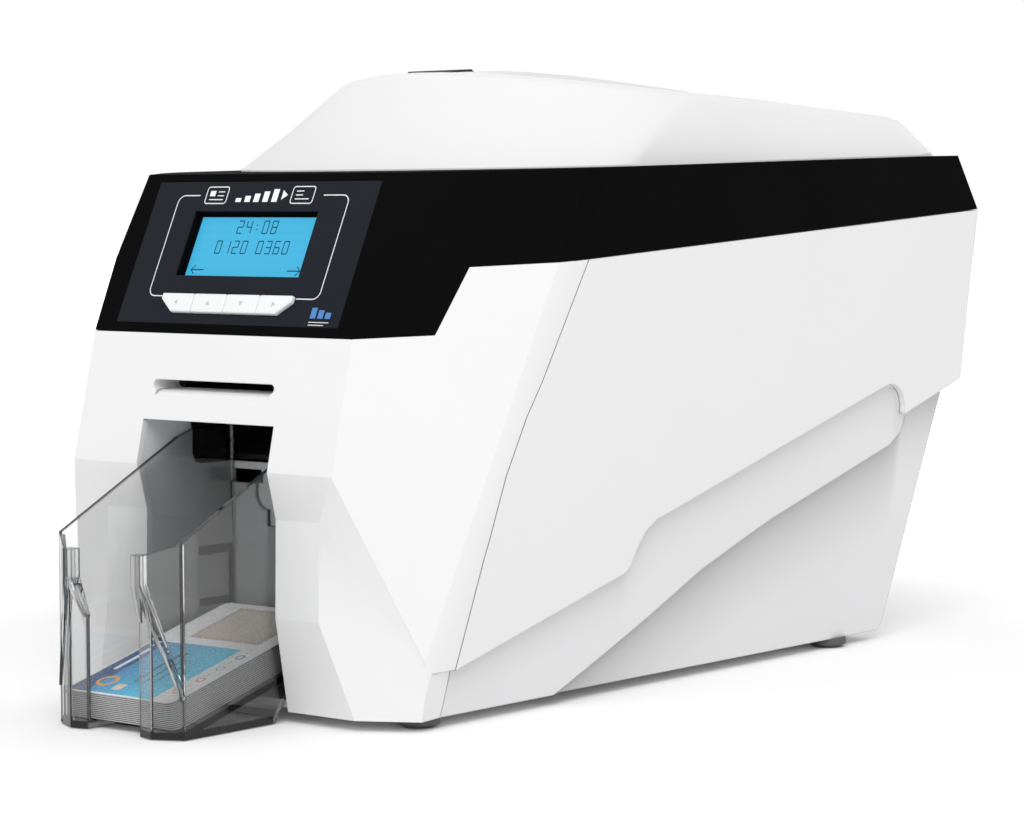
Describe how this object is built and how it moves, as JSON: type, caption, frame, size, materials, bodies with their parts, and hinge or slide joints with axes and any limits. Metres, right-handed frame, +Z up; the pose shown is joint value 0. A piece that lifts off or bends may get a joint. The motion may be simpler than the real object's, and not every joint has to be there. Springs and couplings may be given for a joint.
{
  "type": "id card printer",
  "caption": "Desktop card printer with a faceted housing, sloping control panel, hinged hump lid, clear output tray, hand-feed slot and a full print and feed unit inside",
  "frame": {"origin": "middle of the whole footprint, on the table under the feet", "axes": "+X to the printer's left hand when it faces the user, -Y the front with panel and tray, +Z up"},
  "size_m": [0.22, 0.4086, 0.2401],
  "materials": {
    "white_housing": "fine satin moulded plastic",
    "grey_housing": "satin moulded plastic",
    "black_band": "dark satin moulded plastic",
    "panel_print": "printed polyester film",
    "display": "back-lit liquid crystal display",
    "key_plastic": "soft satin key caps",
    "dark_plastic": "moulded black plastic",
    "clear_plastic": "clear moulded plastic",
    "card_plastic": "white card plastic",
    "sheet_steel": "bright zinc plated sheet",
    "ground_steel": "ground steel rod",
    "aluminium": "extruded aluminium",
    "rubber": "soft rubber",
    "tacky_rubber": "tacky cleaning rubber",
    "gear_plastic": "natural acetal",
    "brass": "machined brass",
    "motor_steel": "motor can",
    "film_dark": "thin dye film",
    "film_used": "spent dye film",
    "circuit_board": "solder-masked board",
    "psu_case": "plated steel case"
  },
  "bodies": {
    "housing": {"base_housing": "grey_housing", "front_fascia": "white_housing", "card_bay": "grey_housing", "side_cover_left": "white_housing", "side_cover_right": "white_housing", "rear_panel": "grey_housing", "top_bezel": "black_band", "panel_film": "panel_print", "display_module": "display", "control_board": "circuit_board", "feed_slot_liner": "dark_plastic", "hinge_rod": "ground_steel", "side_plate_left": "sheet_steel", "side_plate_right": "sheet_steel", "tie_bars": "ground_steel", "card_path": "dark_plastic", "exit_chute": "dark_plastic", "drive_belt": "rubber", "drive_motor": "motor_steel", "film_web": "film_dark", "card_magazine": "dark_plastic", "blank_cards": "card_plastic", "main_board": "circuit_board", "power_supply": "psu_case", "power_inlet": "dark_plastic", "switch_frame": "dark_plastic", "usb_socket": "sheet_steel", "network_socket": "sheet_steel", "fan_frame": "dark_plastic", "feet": "rubber", "screws": "ground_steel"},
    "lid": {"lid_shell": "white_housing", "lid_inner_tray": "dark_plastic", "print_head": "aluminium", "head_bracket": "dark_plastic"},
    "lid_button": {"lid_button": "dark_plastic"},
    "lid_latch": {"lid_latch": "sheet_steel"},
    "key_1": {"key_1": "key_plastic"},
    "key_2": {"key_2": "key_plastic"},
    "key_3": {"key_3": "key_plastic"},
    "key_4": {"key_4": "key_plastic"},
    "platen": {"platen_roller": "rubber", "platen_gear": "gear_plastic"},
    "entry_roller": {"entry_roller": "rubber"},
    "exit_roller": {"exit_roller": "rubber"},
    "entry_pinch": {"entry_pinch_roller": "rubber"},
    "exit_pinch": {"exit_pinch_roller": "rubber"},
    "cleaning_roller": {"cleaning_roller": "tacky_rubber"},
    "motor_shaft": {"motor_pinion": "brass"},
    "pick_roller": {"pick_roller": "rubber"},
    "supply_spool": {"supply_core": "gear_plastic", "supply_film": "film_dark"},
    "takeup_spool": {"takeup_core": "gear_plastic", "takeup_film": "film_used"},
    "card_gate": {"card_gate": "gear_plastic"},
    "card_weight": {"card_weight": "motor_steel"},
    "power_switch": {"power_switch": "dark_plastic"},
    "fan_rotor": {"fan_rotor": "dark_plastic"},
    "output_tray": {"card_tray": "clear_plastic", "printed_cards": "card_plastic"}
  },
  "joints": [
    {"name": "lid_hinge", "type": "hinge", "parent": "housing", "child": "lid", "pos_m": [0, 0.1873, 0.192], "axis": [-1, 0, 0], "range_deg": [0, 70]},
    {"name": "lid_button_press", "type": "slide", "parent": "lid", "child": "lid_button", "axis": [0, 0, -1], "range_m": [0, 0.004], "stiffness_N_per_m": 400, "springref_m": -0.001},
    {"name": "latch_swing", "type": "hinge", "parent": "lid", "child": "lid_latch", "pos_m": [0, -0.0467, 0.207], "axis": [-1, 0, 0], "range_deg": [0, 9.4]},
    {"name": "key_1_press", "type": "slide", "parent": "housing", "child": "key_1", "axis": [0, 0.9061, -0.4231], "range_m": [0, 0.0012], "stiffness_N_per_m": 500, "springref_m": -0.0005},
    {"name": "key_2_press", "type": "slide", "parent": "housing", "child": "key_2", "axis": [0, 0.9061, -0.4231], "range_m": [0, 0.0012], "stiffness_N_per_m": 500, "springref_m": -0.0005},
    {"name": "key_3_press", "type": "slide", "parent": "housing", "child": "key_3", "axis": [0, 0.9061, -0.4231], "range_m": [0, 0.0012], "stiffness_N_per_m": 500, "springref_m": -0.0005},
    {"name": "key_4_press", "type": "slide", "parent": "housing", "child": "key_4", "axis": [0, 0.9061, -0.4231], "range_m": [0, 0.0012], "stiffness_N_per_m": 500, "springref_m": -0.0005},
    {"name": "platen_spin", "type": "hinge", "parent": "housing", "child": "platen", "pos_m": [0, -0.0187, 0.1116], "axis": [1, 0, 0], "continuous": true},
    {"name": "motor_spin", "type": "hinge", "parent": "housing", "child": "motor_shaft", "pos_m": [0, -0.0187, 0.0835], "axis": [1, 0, 0], "continuous": true},
    {"name": "entry_roller_spin", "type": "hinge", "parent": "housing", "child": "entry_roller", "pos_m": [0, -0.0947, 0.1116], "axis": [1, 0, 0], "continuous": true},
    {"name": "exit_roller_spin", "type": "hinge", "parent": "housing", "child": "exit_roller", "pos_m": [0, 0.0593, 0.1116], "axis": [1, 0, 0], "continuous": true},
    {"name": "entry_pinch_spin", "type": "hinge", "parent": "housing", "child": "entry_pinch", "pos_m": [0, -0.0947, 0.1274], "axis": [1, 0, 0], "continuous": true},
    {"name": "exit_pinch_spin", "type": "hinge", "parent": "housing", "child": "exit_pinch", "pos_m": [0, 0.0593, 0.1274], "axis": [1, 0, 0], "continuous": true},
    {"name": "cleaning_roller_spin", "type": "hinge", "parent": "housing", "child": "cleaning_roller", "pos_m": [0, -0.0627, 0.1295], "axis": [1, 0, 0], "continuous": true},
    {"name": "pick_roller_spin", "type": "hinge", "parent": "housing", "child": "pick_roller", "pos_m": [0, 0.1033, 0.1125], "axis": [1, 0, 0], "continuous": true},
    {"name": "supply_spin", "type": "hinge", "parent": "housing", "child": "supply_spool", "pos_m": [0, 0.0333, 0.163], "axis": [1, 0, 0], "continuous": true},
    {"name": "takeup_spin", "type": "hinge", "parent": "housing", "child": "takeup_spool", "pos_m": [0, -0.0687, 0.163], "axis": [1, 0, 0], "continuous": true},
    {"name": "gate_swing", "type": "hinge", "parent": "housing", "child": "card_gate", "pos_m": [0, -0.0357, 0.1178], "axis": [1, 0, 0], "range_deg": [0, 12], "stiffness_Nm_per_rad": 0.05, "springref_deg": -11.46},
    {"name": "card_weight_slide", "type": "slide", "parent": "housing", "child": "card_weight", "axis": [0, 0, 1], "range_m": [0, 0.018]},
    {"name": "power_switch_rock", "type": "hinge", "parent": "housing", "child": "power_switch", "pos_m": [-0.072, 0.1973, 0.166], "axis": [1, 0, 0], "range_deg": [0, 12]},
    {"name": "fan_spin", "type": "hinge", "parent": "housing", "child": "fan_rotor", "pos_m": [0.071, 0.1867, 0.15], "axis": [0, 1, 0], "continuous": true},
    {"name": "tray_slide", "type": "slide", "parent": "housing", "child": "output_tray", "axis": [0, -1, 0], "range_m": [0, 0.06]}
  ],
  "couplings": [
    {"joint": "latch_swing", "follows": "lid_button_press", "rad_per_m": 40.65},
    {"joint": "motor_spin", "follows": "platen_spin", "ratio": -4},
    {"joint": "entry_roller_spin", "follows": "platen_spin", "ratio": 1},
    {"joint": "exit_roller_spin", "follows": "platen_spin", "ratio": 1},
    {"joint": "entry_pinch_spin", "follows": "platen_spin", "ratio": -1.5},
    {"joint": "exit_pinch_spin", "follows": "platen_spin", "ratio": -1.5}
  ]
}
